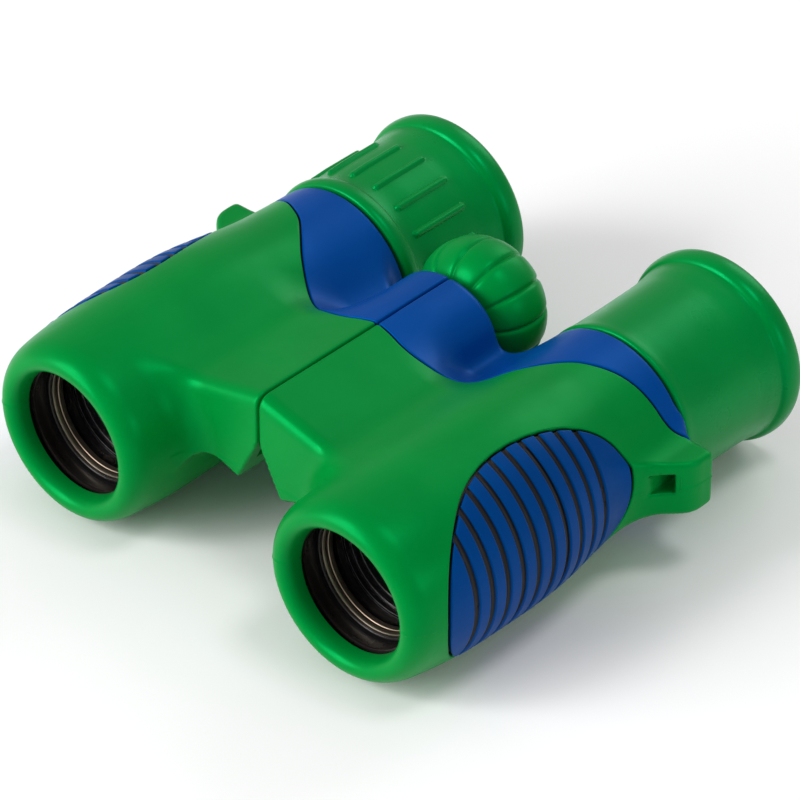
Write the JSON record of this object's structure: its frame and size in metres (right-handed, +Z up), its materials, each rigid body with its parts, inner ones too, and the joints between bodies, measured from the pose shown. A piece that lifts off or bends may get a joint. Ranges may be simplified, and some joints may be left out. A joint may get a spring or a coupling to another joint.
{
  "type": "binoculars",
  "caption": "Compact handheld roof-prism binoculars with hinged barrels, central focus wheel, ribbed dioptre eyecup, side grip pads and strap lugs.",
  "frame": {"origin": "centre of the bounding box's footprint, on the ground plane under the lowest point of the barrels, with the hinge open to its widest", "axes": "+X across the barrels towards the left barrel as the user looks through, +Y from the objectives to the eyecups, +Z up; the user looks along -Y"},
  "size_m": [0.102, 0.093, 0.0344],
  "materials": {
    "green_cover": "satin",
    "blue_cover": "satin",
    "grip_rubber": "satin",
    "eyecup_rubber": "satin",
    "wheel_rubber": "satin",
    "black_plastic": "matte",
    "lens_glass": "coated",
    "prism_glass": "polished",
    "steel": "machined",
    "aluminium": "machined",
    "brass": "machined",
    "friction_plastic": "matte"
  },
  "bodies": {
    "left_half": {"left_armour": "green_cover", "left_rear_cover": "blue_cover", "left_grip_pad": "grip_rubber", "left_housing": "black_plastic", "left_prism_holder": "black_plastic", "left_half_penta_prism": "prism_glass", "left_roof_prism": "prism_glass", "left_prism_clip": "steel", "left_eyepiece_tube": "black_plastic", "left_field_stop": "black_plastic", "left_field_lens": "lens_glass", "left_eye_lens": "lens_glass", "left_eyepiece_ring": "black_plastic", "left_eyecup": "eyecup_rubber", "hinge_pin": "steel", "hinge_pin_clip": "steel", "hinge_front_washer": "friction_plastic", "hinge_rear_washer": "friction_plastic", "hinge_sleeve": "steel", "hinge_tension_nut": "brass"},
    "right_half": {"right_armour": "green_cover", "right_rear_cover": "blue_cover", "right_grip_pad": "grip_rubber", "right_housing": "black_plastic", "right_prism_holder": "black_plastic", "right_half_penta_prism": "prism_glass", "right_roof_prism": "prism_glass", "right_prism_clip": "steel"},
    "left_objective": {"left_objective_cell": "black_plastic", "left_objective_lens": "lens_glass", "left_objective_ring": "aluminium", "left_focus_arm": "steel", "left_arm_screw": "steel"},
    "right_objective": {"right_objective_cell": "black_plastic", "right_objective_lens": "lens_glass", "right_objective_ring": "aluminium", "right_focus_arm": "steel", "right_arm_screw": "steel"},
    "carriage": {"focus_carriage": "black_plastic"},
    "focus_drive": {"focus_wheel": "wheel_rubber", "focus_screw": "brass", "wheel_screw": "steel"},
    "dioptre": {"right_eyecup": "eyecup_rubber", "right_dioptre_ring": "black_plastic"},
    "right_eyepiece": {"right_eyepiece_tube": "black_plastic", "right_field_stop": "black_plastic", "right_field_lens": "lens_glass", "right_eye_lens": "lens_glass", "right_eyepiece_ring": "black_plastic"}
  },
  "joints": [
    {"name": "fold", "type": "hinge", "parent": "left_half", "child": "right_half", "pos_m": [0, 0, 0.0231], "axis": [0, -1, 0], "range_deg": [0, 56]},
    {"name": "focus_turn", "type": "hinge", "parent": "left_half", "child": "focus_drive", "pos_m": [0, 0.0209, 0.0231], "axis": [0, 1, 0], "range_deg": [-300, 90]},
    {"name": "carriage_slide", "type": "slide", "parent": "left_half", "child": "carriage", "axis": [0, 1, 0], "range_m": [-0.0021, 0.0007]},
    {"name": "left_objective_slide", "type": "slide", "parent": "left_half", "child": "left_objective", "axis": [0, 1, 0], "range_m": [-0.0021, 0.0007]},
    {"name": "right_objective_slide", "type": "slide", "parent": "right_half", "child": "right_objective", "axis": [0, 1, 0], "range_m": [-0.0021, 0.0007]},
    {"name": "dioptre_turn", "type": "hinge", "parent": "right_half", "child": "dioptre", "pos_m": [-0.0291, 0.0285, 0.0168], "axis": [0, 1, 0], "range_deg": [-50, 50]},
    {"name": "right_eyepiece_slide", "type": "slide", "parent": "right_half", "child": "right_eyepiece", "axis": [0, 1, 0], "range_m": [-0.0011, 0.0011]}
  ],
  "couplings": [
    {"joint": "carriage_slide", "follows": "focus_turn", "m_per_rad": 0.00038197},
    {"joint": "left_objective_slide", "follows": "focus_turn", "m_per_rad": 0.00038197},
    {"joint": "right_objective_slide", "follows": "focus_turn", "m_per_rad": 0.00038197},
    {"joint": "right_eyepiece_slide", "follows": "dioptre_turn", "m_per_rad": 0.0011459}
  ]
}
